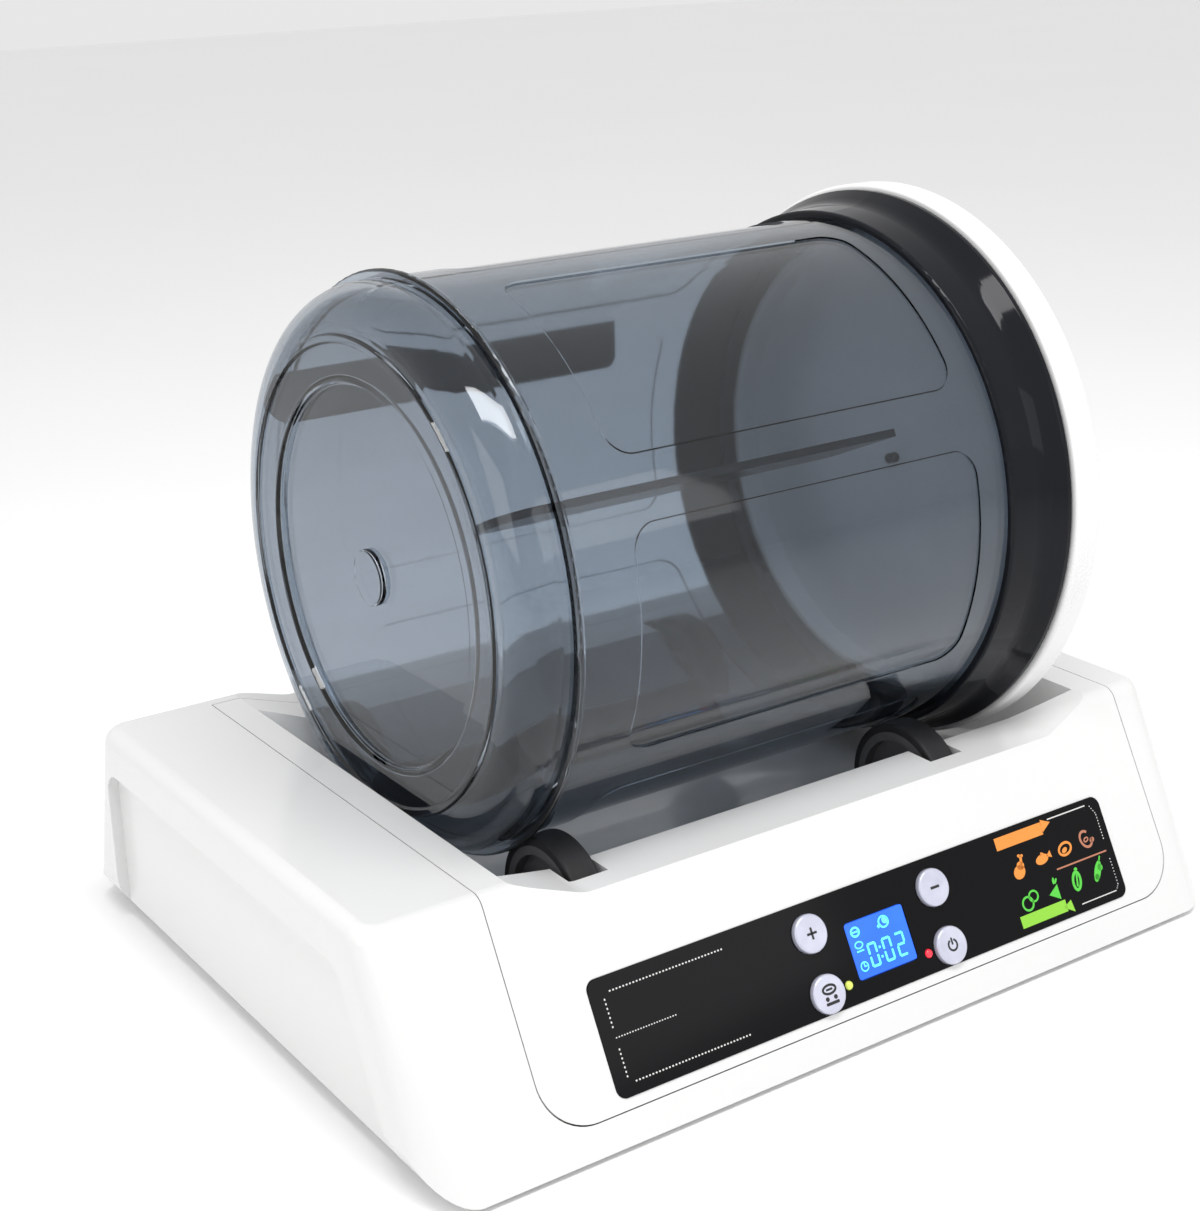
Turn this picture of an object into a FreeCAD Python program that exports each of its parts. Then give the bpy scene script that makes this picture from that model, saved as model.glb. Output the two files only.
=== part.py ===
import FreeCAD, Part
import os
from math import sin, cos, tan, radians, degrees, pi, sqrt, acos, atan2

os.makedirs("parts", exist_ok=True)
V = FreeCAD.Vector

# Meat vacuum tumbler: a drum on four rollers in the cradle of a powered base.
# Millimetres, +X to the lid, -Y to the control panel, +Z up, Z = 0 on the table.

# base envelope
BASE_L = 332.0          # width along X at the lower edge
BASE_D = 262.0          # depth along Y at the lower edge
SHOULDER_Z = 77.0       # top of the end shoulders
RIDGE_Z = 69.0          # top of the front and rear ridges
FASCIA_DEG = 61.3       # slope of the front face from the table
REAR_DEG = 71.5         # slope of the rear face from the table
TUCK_R = 16.0           # round that turns each end wall under
PLAN_R = 15.0           # corner radius in plan at the table
TOP_R = 10.0            # corner radius in plan at the shoulders
TOP_FILLET = 6.0        # round along the shoulder edge
RIDGE_FILLET = 9.0      # round where the fascia meets the ridge
SADDLE_RUN = 15.0       # length of the slope from shoulder to ridge
WALL = 3.0              # moulded wall
SEAM = 0.4              # parting gap between the two mouldings
FOOT_H = 2.0            # how far the feet hold the base off the table
FOOT_R = 8.0
FOOT_INSET_X = 38.0     # foot centre from the base's end
FOOT_INSET = 24.0       # foot centre from the base's front and rear
FOOT_POCKET = 1.0       # how far a foot is let into the plate

# drum
DRUM_R = 95.0           # running radius on the rollers
DRUM_WALL = 2.8
AXIS_Y = 1.0
AXIS_Z = 149.3
RING_X = -89.3          # centre of the bead that runs beside the left rollers
BEAD_H = 3.0
BEAD_W = 3.0
END_FILLET = 14.0       # round from the drum's side to its end
END_X = -108.3          # outer face of the end's rim
DISC_R = 63.5           # recessed disc in the end
DISC_DEPTH = 2.4
FOOTRING_R = 78.0
FOOTRING_H = 1.2
BOSS_R = 9.5
BOSS_H = 2.0
MOUTH_X = 118.0         # open end of the drum
PANEL_DENT = 0.8        # depth of the flat panels moulded in the side
PANEL_X0 = -66.0
PANEL_X1 = 74.0
PANEL_SPAN_DEG = 47.0
PANEL_R = 9.0
PANEL_COUNT = 6
FIN_DEG = 26.0          # first fin above the front horizontal
FIN_COUNT = 3
FIN_H = 21.0
FIN_T = 2.6
FIN_END_X = 44.0
FIN_SLOPE = 12.0        # how far the fin's free end leans back
GLUE = 0.05             # bond line between parts of the drum

# collar and lid
COLLAR_X0 = 86.4
COLLAR_X1 = 109.3
COLLAR_R0 = 97.5
COLLAR_R1 = 102.9
LID_GAP = 0.6           # collar to lid
LID_EDGE_X = 120.3
LID_R = 104.8
LID_DOME = 6.5
LID_WALL = 3.0
LID_FILLET = 5.0
PLUG_R = 88.0           # ring on the lid that reaches into the mouth
PLUG_IN = 9.0
GASKET_T = 2.4
GASKET_GAP = 0.05
LUG_COUNT = 3
LUG_H = 2.2
LUG_T = 2.6
LUG_SPAN_DEG = 24.0
LUG_GAP = 0.5
LID_TURN_DEG = 40.0     # twist from locked to free
VALVE_R = 10.0
VALVE_H = 6.0
KNOB_R = 7.0
KNOB_H = 6.0
KNOB_GAP = 0.6
STEM_R = 2.5
STEM_FIT = 0.05
VALVE_LIFT = 3.0

# rollers and drive
ROLLER_R = 23.75
TYRE_T = 3.0
HUB_WEB_R = 9.0
ROLLER_W = 10.8
ROLLER_DEG = 34.7       # from straight down at the drum's axis
ROLLER_GAP = 0.3        # drum to tyre, taken up by the rubber
ROLLER_XR = 70.2        # centre of the right rollers
BEAD_CLEAR = 0.6        # bead to the left rollers
SLOT_CLEAR = 2.0        # tyre to the slot around it
SLOT_SIDE = 2.0
TROUGH_R = 110.0        # cradle around the drum
TROUGH_X0 = -113.0
TROUGH_X1 = 136.0
SHAFT_R = 3.0
SHAFT_FIT = 0.05
SHAFT_END = 6.0         # shaft beyond the last bearing
BEARING_T = 8.0
BEARING_BOSS_R = 5.4
BEARING_FOOT_W = 24.0
BEARING_FOOT_T = 3.0
BEARING_CLEAR = 3.0     # roller to the bearing beside it
GEAR_M = 1.0
GEAR_TEETH = 36
PINION_TEETH = 12
GEAR_W = 8.0
GEAR_X = -121.5         # centre of the gear pair
GEAR_LASH = 0.16        # thinning of each tooth
GEAR_SHIFT = 0.1        # added to the centre distance
PRESSURE_DEG = 20.0
ADDENDUM = 0.8          # short teeth, so that the small pinion needs no undercut
DEDENDUM = 1.15
MESH_DEG = -30.0        # pinion below the line to the rear
MOTOR_R = 25.0
MOTOR_L = 16.0
MOTOR_SHAFT_R = 2.5
MOTOR_OFFSET = 13.0     # motor's centre from its output shaft
MOTOR_NOSE_R = 5.0
MOTOR_NOSE_L = 2.0
MOTOR_EAR_DEG = 20.0
MOTOR_GAP = 1.4         # pinion to the bracket
SHEET = 1.6             # bent bracket sheet
SCREW_R = 1.5
SCREW_HEAD_R = 2.9
SCREW_HEAD_H = 2.0

# control panel, in the plane of the fascia
PANEL_W = 223.0
PANEL_H = 37.0
PANEL_T = 1.4
PANEL_PROUD = 0.4
PANEL_CORNER = 3.5
PANEL_CX = 13.0
PANEL_CZ = 30.4
PANEL_FIT = 0.15
BUTTON_R = 6.5
BUTTON_HOLE_GAP = 0.3
BUTTON_PROUD = 1.8
BUTTON_FLANGE = 0.8
BUTTON_FLANGE_T = 1.1
BUTTON_TRAVEL = 1.0
BUTTON_COL = 27.0       # columns either side of the display
BUTTON_TOP_V = 8.4
BUTTON_LOW_V = -11.8
LCD_W = 25.2
LCD_H = 18.8
LCD_V = -2.4
LCD_FIT = 0.3
LCD_CORNER = 1.5
LED_R = 1.5
LED_U = 9.4             # lamp from its button's centre
BOARD_W = 84.0
BOARD_H = 30.0
BOARD_T = 1.6
BOARD_DEPTH = 8.0       # fascia to the board
SWITCH_W = 6.0
SWITCH_GAP = 0.15

# parting line of the top moulding
TOP_X0 = -124.0
TOP_X1 = 148.0
SEAM_LOW_V = -22.0      # lower edge on the fascia, from the panel's centre
SEAM_R = 17.0
SEAM_BACK_Y = 98.0

# recess in each end wall
RECESS_TOP_Z = 61.0
RECESS_Y0 = -75.0
RECESS_Y1 = 101.0
RECESS_DEPTH = 4.0
RECESS_R = 9.0

# services
PLATE_T = 3.0
PLATE_FIT = 0.4
POST_R = 5.0
POST_PILOT_R = 1.3
POST_XL = -138.0
POST_XR = 124.0
POST_Y = 84.0
PUMP_X = -5.0
PUMP_Y = 89.0
PUMP_R = 13.0
PUMP_L = 46.0
PUMP_HEAD = 26.0
PUMP_HEAD_L = 16.0
PUMP_LIFT = 3.0         # cradle under the pump
CRADLE_W = 12.0
NOZZLE_R = 2.0
NOZZLE_L = 8.0
TUBE_R = 3.2
TUBE_BORE_FIT = 0.05
TUBE_BEND_R = 12.0
PORT_R = 3.2            # socket for the hose
PORT_BORE_R = 1.2
PORT_L = 10.0
PORT_WALL = 3.0
PORT_FACE_Y = 127.0     # outer face of the port and the inlet
INLET_X = -62.0
INLET_Z = 22.0
INLET_BORE_R = 2.8
INLET_BORE_L = 9.5
INLET_R = 5.5
INLET_PIN_R = 1.0
INLET_BODY = 12.0
INLET_BODY_L = 12.0
POWER_BOARD_X = 60.0
POWER_BOARD_Y = 0.0
POWER_BOARD_W = 60.0
POWER_BOARD_D = 44.0
STANDOFF = 4.0
VENT_COUNT = 9
VENT_PITCH = 6.0
VENT_W = 2.4
VENT_H = 22.0
VENT_X = -118.0

AXIS = V(0, AXIS_Y, AXIS_Z)
XDIR = V(1, 0, 0)
FAR = 2 * BASE_L        # reaches past everything


def save(shape, node):
    shape.exportStep("parts/" + node + ".step")


def box(x0, x1, y0, y1, z0, z1):
    return Part.makeBox(x1 - x0, y1 - y0, z1 - z0, V(x0, y0, z0))


def rod(r, x0, x1, y=AXIS_Y, z=AXIS_Z):
    return Part.makeCylinder(r, x1 - x0, V(x0, y, z), XDIR)


def ring(r0, r1, x0, x1):
    return rod(r1, x0, x1).cut(rod(r0, x0 - WALL, x1 + WALL))


def fuse(shapes):
    out = shapes[0]
    for s in shapes[1:]:
        out = out.fuse(s)
    return out.removeSplitter()


def revolve(points):
    # closed outline of (x, r) about the drum's axis; a third value rounds that corner
    wire = rounded(points)
    face = Part.Face(wire)
    return face.revolve(AXIS, XDIR, 360)


def rounded(points):
    # polygon in the plane y = AXIS_Y with rounded corners
    pts = [V(p[0], AXIS_Y, AXIS_Z + p[1]) for p in points]
    rad = [p[2] if len(p) > 2 else 0 for p in points]
    edges, ends, n = [], [], len(pts)
    for i in range(n):
        p, a, b = pts[i], pts[i - 1], pts[(i + 1) % n]
        da, db = (a - p).normalize(), (b - p).normalize()
        if rad[i] == 0:
            ends.append((p, p, None))
            continue
        half = da.getAngle(db) / 2
        cut = rad[i] / tan(half)
        mid = p + (da + db).normalize() * (rad[i] / sin(half) - rad[i])
        ends.append((p + da * cut, p + db * cut, mid))
    for i in range(n):
        t0, t1, mid = ends[i]
        if mid:
            edges.append(Part.Arc(t0, mid, t1).toShape())
        nxt = ends[(i + 1) % n][0]
        if (nxt - t1).Length > 1e-6:
            edges.append(Part.makeLine(t1, nxt))
    return Part.Wire(edges)


def turned(shape, deg):
    out = shape.copy()
    out.rotate(AXIS, XDIR, deg)
    return out


def round_rect(w, d, r, z, cx=0.0, cy=0.0):
    x0, x1, y0, y1 = cx - w / 2, cx + w / 2, cy - d / 2, cy + d / 2
    k = r * (1 - sqrt(0.5))
    e = [Part.makeLine(V(x0 + r, y0, z), V(x1 - r, y0, z)),
         Part.Arc(V(x1 - r, y0, z), V(x1 - k, y0 + k, z), V(x1, y0 + r, z)).toShape(),
         Part.makeLine(V(x1, y0 + r, z), V(x1, y1 - r, z)),
         Part.Arc(V(x1, y1 - r, z), V(x1 - k, y1 - k, z), V(x1 - r, y1, z)).toShape(),
         Part.makeLine(V(x1 - r, y1, z), V(x0 + r, y1, z)),
         Part.Arc(V(x0 + r, y1, z), V(x0 + k, y1 - k, z), V(x0, y1 - r, z)).toShape(),
         Part.makeLine(V(x0, y1 - r, z), V(x0, y0 + r, z)),
         Part.Arc(V(x0, y0 + r, z), V(x0 + k, y0 + k, z), V(x0 + r, y0, z)).toShape()]
    return Part.Wire(e)


# ---- base envelope -------------------------------------------------------------------

def front_y(z):
    return -BASE_D / 2 + (z - FOOT_H) / tan(radians(FASCIA_DEG))


def rear_y(z):
    return BASE_D / 2 - (z - FOOT_H) / tan(radians(REAR_DEG))


def section(z, inset, r):
    y0, y1 = front_y(z) + inset / sin(radians(FASCIA_DEG)), rear_y(z) - inset / sin(radians(REAR_DEG))
    return round_rect(BASE_L - 2 * inset, y1 - y0, max(r - inset, 1.0), z, 0, (y0 + y1) / 2)


def tucked(inset):
    # seen from the front the base is a rounded rectangle: its ends turn under
    x, z = BASE_L / 2 - inset, FOOT_H + inset
    b = box(-x, x, -FAR, FAR, z, FAR)
    low = [e for e in b.Edges if e.BoundBox.YLength > FAR and e.BoundBox.ZMax < z + 1]
    return b.makeFillet(TUCK_R - inset, low)


def mouth(fit, top):
    # the way in from below, between the turned-under ends
    x = BASE_L / 2 - TUCK_R - fit
    return box(-x, x, -FAR, FAR, FOOT_H - WALL, top)


def hull(inset, z0, z1):
    return Part.makeLoft([section(z0, inset, PLAN_R), section(z1, inset, TOP_R)], True, True)


def saddle(drop, grow):
    # what is cut away above the ridges, between the shoulders
    z = RIDGE_Z - drop
    run = SADDLE_RUN + RIDGE_FILLET
    pts = [V(TROUGH_X0 - grow, -FAR, SHOULDER_Z - drop), V(TROUGH_X0 + run - grow, -FAR, z),
           V(TROUGH_X1 - run + grow, -FAR, z), V(TROUGH_X1 + grow, -FAR, SHOULDER_Z - drop),
           V(TROUGH_X1 + grow, -FAR, FAR), V(TROUGH_X0 - grow, -FAR, FAR)]
    s = Part.Face(Part.makePolygon(pts + pts[:1])).extrude(V(0, 2 * FAR, 0))
    low = [e for e in s.Edges if e.BoundBox.YLength > FAR and e.BoundBox.ZMax < SHOULDER_Z - drop + 1]
    return s.makeFillet(SADDLE_RUN, [e for e in low if e.BoundBox.ZMax < z + 1])


def recess(side, extra):
    # the shallow pocket in an end wall, open at the bottom
    k = 1.0 / tan(radians(FASCIA_DEG))
    z1 = RECESS_TOP_Z + extra
    y0, y1 = RECESS_Y0 - extra, RECESS_Y1 + extra
    pts = [V(0, y0, z1), V(0, y1, z1), V(0, y1, -FAR), V(0, y0 - k * (z1 + FAR), -FAR)]
    p = Part.Face(Part.makePolygon(pts + pts[:1])).extrude(V(side * FAR, 0, 0))
    p.translate(V(side * (BASE_L / 2 - RECESS_DEPTH - extra), 0, 0))
    top = [e for e in p.Edges if e.BoundBox.XLength > FAR / 2 and e.BoundBox.ZMin > 0]
    return p.makeFillet(RECESS_R + extra, top)


def trough(extra):
    return rod(TROUGH_R + extra, TROUGH_X0 - extra, TROUGH_X1 + extra)


def outer_form():
    h = hull(0, FOOT_H, SHOULDER_Z)
    top = [e for e in h.Edges if e.BoundBox.ZMin > SHOULDER_Z - 0.01]
    h = h.makeFillet(TOP_FILLET, top).common(tucked(0))
    h = h.cut(saddle(0, 0))
    h = h.cut(recess(-1, 0)).cut(recess(1, 0))
    return h


def inner_form():
    h = hull(WALL, FOOT_H - 1, SHOULDER_Z - WALL)
    h = h.common(tucked(WALL).fuse(mouth(0, FOOT_H + 2 * WALL)))
    h = h.cut(saddle(WALL, WALL))
    h = h.cut(recess(-1, WALL)).cut(recess(1, WALL))
    return h.cut(trough(WALL))


def slots():
    out = []
    for y, z in roller_axes():
        for x in (left_roller_x(), ROLLER_XR):
            w = ROLLER_W / 2 + SLOT_SIDE
            out.append(rod(ROLLER_R + SLOT_CLEAR, x - w, x + w, y, z))
    return out


def shell():
    s = outer_form().cut(trough(0)).cut(inner_form())
    return s.cut(Part.makeCompound(slots()))


# ---- fascia frame --------------------------------------------------------------------

def on_fascia(shape):
    out = shape.copy()
    out.rotate(V(0, 0, 0), XDIR, FASCIA_DEG)
    out.translate(V(PANEL_CX, front_y(PANEL_CZ), PANEL_CZ))
    return out


def pad(w, h, r, n0, n1, u=0.0, v=0.0):
    return Part.Face(round_rect(w, h, r, n0, u, v)).extrude(V(0, 0, n1 - n0))


def peg(r, n0, n1, u, v):
    return Part.makeCylinder(r, n1 - n0, V(u, v, n0))


def button_spots():
    return {"button_plus": (-BUTTON_COL, BUTTON_TOP_V), "button_minus": (BUTTON_COL, BUTTON_TOP_V),
            "button_mode": (-BUTTON_COL, BUTTON_LOW_V), "button_power": (BUTTON_COL, BUTTON_LOW_V)}


def led_spots():
    return {"led_green": (-BUTTON_COL + LED_U, BUTTON_LOW_V), "led_red": (BUTTON_COL - LED_U, BUTTON_LOW_V)}


def fascia_holes(n0):
    n1 = PANEL_PROUD + 1
    cuts = [peg(BUTTON_R + BUTTON_HOLE_GAP, n0, n1, u, v) for u, v in button_spots().values()]
    cuts += [peg(LED_R + PANEL_FIT, n0, n1, u, v) for u, v in led_spots().values()]
    cuts.append(pad(LCD_W + 2 * LCD_FIT, LCD_H + 2 * LCD_FIT, LCD_CORNER, n0, n1, 0, LCD_V))
    return Part.makeCompound(cuts)


def top_region(gap):
    # the space of the top moulding; gap shrinks it for the parting line
    x0, x1 = TOP_X0 + gap, TOP_X1 - gap
    low = SEAM_LOW_V + gap
    high = SHOULDER_Z
    front = pad(x1 - x0, high - low, SEAM_R, -TOP_FILLET, TOP_FILLET, (x0 + x1) / 2 - PANEL_CX, (high + low) / 2)
    front = on_fascia(front)
    deck = box(x0, x1, front_y(SHOULDER_Z - 2 * TOP_FILLET), SEAM_BACK_Y - gap, WALL, FAR)
    return front.fuse(deck)


def biggest(shape):
    return max(shape.Solids, key=lambda s: s.Volume)


def post(x, y, top):
    z0 = FOOT_H + PLATE_T
    p = Part.makeCylinder(POST_R, top - z0, V(x, y, z0))
    return p.cut(Part.makeCylinder(POST_PILOT_R, 4 * POST_R, V(x, y, z0)))


def top_cover(whole):
    cover = biggest(whole.common(top_region(0)))
    depth = PANEL_T - PANEL_PROUD
    pocket = pad(PANEL_W + 2 * PANEL_FIT, PANEL_H + 2 * PANEL_FIT, PANEL_CORNER, -depth, TOP_FILLET)
    cover = cover.cut(on_fascia(pocket))
    for hole in on_fascia(fascia_holes(-2 * WALL)).Solids:
        cover = cover.cut(hole)
    limit = hull(WALL / 2, FOOT_H, SHOULDER_Z - WALL / 2).cut(saddle(WALL / 2, WALL / 2)).cut(trough(WALL / 2))
    posts = [post(POST_XR, y, SHOULDER_Z).common(limit) for y in (-POST_Y, POST_Y)]
    return biggest(fuse([cover] + posts))


def lower_housing(whole):
    h = biggest(whole.cut(top_region(-SEAM)))
    posts = [post(POST_XL, y, SHOULDER_Z - WALL / 2) for y in (-POST_Y, POST_Y)]
    h = biggest(fuse([h] + posts))
    h = h.cut(rear_pipe(PORT_R + PORT_WALL + PANEL_FIT, port_x(), pump_axis_z()))
    h = h.cut(rear_pipe(INLET_R + PANEL_FIT, INLET_X, INLET_Z))
    return h.cut(vents())


def rear_pipe(r, x, z, y0=0.0, y1=BASE_D):
    return Part.makeCylinder(r, y1 - y0, V(x, y0, z), V(0, 1, 0))


def vents():
    out = []
    z0 = INLET_Z - VENT_H / 2
    for i in range(VENT_COUNT):
        x = VENT_X + i * VENT_PITCH - VENT_PITCH * (VENT_COUNT - 1) / 2
        out.append(box(x - VENT_W / 2, x + VENT_W / 2, BASE_D / 4, BASE_D, z0, z0 + VENT_H))
    return Part.makeCompound(out)


def shift(shape, x=0.0, y=0.0, z=0.0):
    out = shape.copy()
    out.translate(V(x, y, z))
    return out


# ---- bottom --------------------------------------------------------------------------

def feet_spots():
    x, y = BASE_L / 2 - FOOT_INSET_X, BASE_D / 2 - FOOT_INSET
    return [(sx * x, sy * y) for sx in (-1, 1) for sy in (-1, 1)]


def screw_spots():
    return [(x, y) for x in (POST_XL, POST_XR) for y in (-POST_Y, POST_Y)]


def bottom_plate():
    top = FOOT_H + PLATE_T
    p = Part.makeLoft([section(FOOT_H, WALL + PLATE_FIT, PLAN_R), section(top, WALL + PLATE_FIT, PLAN_R)], True, True)
    p = p.common(mouth(PLATE_FIT, top))
    for x, y in feet_spots():
        p = p.cut(Part.makeCylinder(FOOT_R + PANEL_FIT, FOOT_POCKET, V(x, y, FOOT_H)))
    for x, y in screw_spots():
        p = p.cut(Part.makeCylinder(SCREW_R + PANEL_FIT, PLATE_T, V(x, y, FOOT_H)))
        p = p.cut(Part.makeCylinder(SCREW_HEAD_R + PANEL_FIT, SCREW_HEAD_H / 2, V(x, y, FOOT_H)))
    return p


def feet():
    out = []
    for x, y in feet_spots():
        f = Part.makeCylinder(FOOT_R, FOOT_H + FOOT_POCKET, V(x, y, 0))
        f = f.makeFillet(FOOT_POCKET, [e for e in f.Edges if e.BoundBox.ZMax < 0.01])
        out.append(f)
    return Part.makeCompound(out)


def housing_screws():
    out = []
    for x, y in screw_spots():
        z = FOOT_H + SCREW_HEAD_H / 2
        head = Part.makeCylinder(SCREW_HEAD_R, SCREW_HEAD_H / 2, V(x, y, FOOT_H))
        slot = Part.makeCylinder(POST_PILOT_R, SCREW_HEAD_H / 4, V(x, y, FOOT_H))
        body = Part.makeCylinder(POST_PILOT_R, 2 * POST_R, V(x, y, z))
        out.append(head.fuse(body).cut(slot))
    return Part.makeCompound(out)


# ---- drum ----------------------------------------------------------------------------

def drum_shell():
    r, e, w = DRUM_R, END_X, DRUM_WALL
    floor = e + DISC_DEPTH
    b0, b1 = RING_X - BEAD_W / 2, RING_X + BEAD_W / 2
    round_bead = BEAD_W * 0.4
    ri = r - w
    pts = [(floor - BOSS_H, 0), (floor - BOSS_H, BOSS_R, 0.8), (floor, BOSS_R), (floor, DISC_R, 0.8),
           (e, DISC_R + 1, 0.4), (e, FOOTRING_R - w / 2), (e - FOOTRING_H, FOOTRING_R - w / 2 + 0.5, 0.4),
           (e - FOOTRING_H, FOOTRING_R + w / 2, 0.4), (e, FOOTRING_R + w / 2 + 0.5), (e, r, END_FILLET),
           (b0, r), (b0 + 0.2, r + BEAD_H, round_bead), (b1 - 0.2, r + BEAD_H, round_bead), (b1, r),
           (MOUTH_X, r, 0.6), (MOUTH_X, ri, 0.6), (e + w, ri, END_FILLET - w), (e + w, DISC_R + w, 0.5),
           (floor + w, DISC_R + w - 1, 0.5), (floor + w, 0)]
    s = revolve(pts)
    s = s.cut(Part.makeCompound([turned(drum_panel(), fin_deg(i, PANEL_COUNT) + 30) for i in range(PANEL_COUNT)]))
    return fuse([s] + [turned(neck_lug(), i * 360 / LUG_COUNT) for i in range(LUG_COUNT)])


def fin_deg(i, count):
    return -FIN_DEG - i * 360.0 / count


def drum_panel():
    # one shallow rounded panel on the front horizontal, cut out of the side
    w = PANEL_X1 - PANEL_X0
    h = 2 * DRUM_R * sin(radians(PANEL_SPAN_DEG / 2))
    p = Part.Face(round_rect(w, h, PANEL_R, 0)).extrude(V(0, 0, FAR))
    p.rotate(V(0, 0, 0), XDIR, 90)
    p.translate(V((PANEL_X0 + PANEL_X1) / 2, AXIS_Y, AXIS_Z))
    return p.common(ring(DRUM_R - PANEL_DENT, DRUM_R + 1, PANEL_X0 - 1, PANEL_X1 + 1))


def sector(r0, r1, x0, x1, deg):
    # part of a ring, centred on straight up
    f = Part.makePolygon([V(x0, AXIS_Y, AXIS_Z + r0), V(x1, AXIS_Y, AXIS_Z + r0), V(x1, AXIS_Y, AXIS_Z + r1),
                          V(x0, AXIS_Y, AXIS_Z + r1), V(x0, AXIS_Y, AXIS_Z + r0)])
    s = Part.Face(f).revolve(AXIS, XDIR, deg)
    return turned(s, -deg / 2)


def neck_lug():
    x1 = MOUTH_X - LUG_GAP
    return sector(DRUM_R - DRUM_WALL / 2, DRUM_R + LUG_H, x1 - LUG_T, x1, LUG_SPAN_DEG)


def fin():
    # one lifting fin, standing in from the drum's wall on the front horizontal
    ri = DRUM_R - DRUM_WALL - GLUE
    x0 = END_X + DRUM_WALL + GLUE
    y0 = AXIS_Y - ri
    pts = [V(x0, y0, 0), V(FIN_END_X, y0, 0), V(FIN_END_X - FIN_SLOPE, y0 + FIN_H, 0),
           V(x0, y0 + FIN_H, 0)]
    f = Part.Face(Part.makePolygon(pts + pts[:1])).extrude(V(0, 0, FIN_T))
    f = f.makeFillet(FIN_SLOPE / 2, [e for e in f.Edges if e.BoundBox.ZLength > FIN_T / 2
                                     and e.BoundBox.YMin > y0 + FIN_H / 2])
    f.translate(V(0, 0, AXIS_Z - FIN_T / 2))
    inside = revolve([(x0, 0), (x0, ri, END_FILLET - DRUM_WALL), (FIN_END_X, ri), (FIN_END_X, 0)])
    return f.common(inside)


def fins():
    return Part.makeCompound([turned(fin(), fin_deg(i, FIN_COUNT)) for i in range(FIN_COUNT)])


def drum_collar():
    ri = DRUM_R + GLUE
    x0, x1 = COLLAR_X0, COLLAR_X1
    mid = x0 + (x1 - x0) * 0.6
    pts = [(x0, ri), (x0, COLLAR_R0, 1.2), (mid, COLLAR_R0 + 1.2, 12), (x1 - 2.2, COLLAR_R1, 1.0),
           (x1, COLLAR_R1, 0.8), (x1, ri)]
    return revolve(pts)


# ---- lid -----------------------------------------------------------------------------

def lid_inner_x():
    return MOUTH_X + GASKET_T + GASKET_GAP


def lid():
    x0 = COLLAR_X1 + LID_GAP
    xi = lid_inner_x()
    top = LID_EDGE_X + LID_DOME
    skirt = DRUM_R + LUG_H + LUG_GAP
    pts = [(x0, skirt, 0.5), (x0, LID_R, 1.5), (LID_EDGE_X, LID_R, 2), (top, LID_R - LID_DOME, LID_FILLET),
           (top, PLUG_R, 3), (top - LID_WALL, PLUG_R - LID_DOME, 3), (top - LID_WALL, 2 * VALVE_R, 3),
           (top, 2 * VALVE_R - LID_WALL, 3), (top, STEM_R + STEM_FIT), (top - 2 * LID_WALL, STEM_R + STEM_FIT),
           (top - 2 * LID_WALL, PLUG_R - LID_WALL), (xi - PLUG_IN, PLUG_R - LID_WALL, 0.8),
           (xi - PLUG_IN, PLUG_R, 0.8), (xi, PLUG_R), (xi, skirt)]
    lugs = [turned(lid_lug(), LID_TURN_DEG * 0.25 + i * 360 / LUG_COUNT) for i in range(LUG_COUNT)]
    return fuse([revolve(pts)] + lugs)


def lid_lug():
    x1 = MOUTH_X - 2 * LUG_GAP - LUG_T
    x0 = COLLAR_X1 + LID_GAP + LUG_GAP
    return sector(DRUM_R + LUG_GAP, DRUM_R + LUG_H + LUG_GAP + LID_WALL / 2, x0, x1, LUG_SPAN_DEG)


def lid_gasket():
    x0, x1 = MOUTH_X + GASKET_GAP, lid_inner_x()
    return ring(PLUG_R + GLUE, DRUM_R, x0, x1)


def valve_body():
    x0 = LID_EDGE_X + LID_DOME
    pts = [(x0, STEM_R + STEM_FIT), (x0, VALVE_R, 0), (x0 + VALVE_H, VALVE_R - 1, 1), (x0 + VALVE_H, STEM_R + STEM_FIT)]
    return revolve(pts)


def valve_knob():
    x0 = LID_EDGE_X + LID_DOME + VALVE_H + KNOB_GAP
    tip = LID_EDGE_X + LID_DOME - 2 * LID_WALL - VALVE_LIFT
    pts = [(tip, 0), (tip, STEM_R), (x0, STEM_R), (x0, KNOB_R, 0.5), (x0 + KNOB_H, KNOB_R, 1.5),
           (x0 + KNOB_H, 0)]
    return revolve(pts)


# ---- rollers -------------------------------------------------------------------------

def roller_axes():
    d = DRUM_R + ROLLER_R + ROLLER_GAP
    a = radians(ROLLER_DEG)
    return [(AXIS_Y + s * d * sin(a), AXIS_Z - d * cos(a)) for s in (-1, 1)]


def left_roller_x():
    return RING_X + BEAD_W / 2 + BEAD_CLEAR + ROLLER_W / 2


def roller_xs():
    return (left_roller_x(), ROLLER_XR)


def bearing_xs():
    gap = ROLLER_W / 2 + BEARING_CLEAR + BEARING_T / 2
    return (left_roller_x() - gap, ROLLER_XR + gap)


def hub(y, z, x):
    w, r = ROLLER_W / 2, ROLLER_R - TYRE_T
    h = rod(r, x - w, x + w, y, z)
    groove = ring(HUB_WEB_R, r - TYRE_T, -w, -w / 3).fuse(ring(HUB_WEB_R, r - TYRE_T, w / 3, w))
    groove.translate(V(x, y - AXIS_Y, z - AXIS_Z))
    return h.cut(groove).cut(rod(SHAFT_R, x - ROLLER_W, x + ROLLER_W, y, z))


def tyre(y, z, x):
    w, r = ROLLER_W / 2, ROLLER_R - TYRE_T
    t = rod(ROLLER_R, x - w, x + w, y, z)
    t = t.makeFillet(1.0, [e for e in t.Edges if e.BoundBox.XLength < 0.01])
    return t.cut(rod(r, x - ROLLER_W, x + ROLLER_W, y, z))


def pair(make, side):
    y, z = roller_axes()[side]
    return Part.makeCompound([make(y, z, x) for x in roller_xs()])


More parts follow.
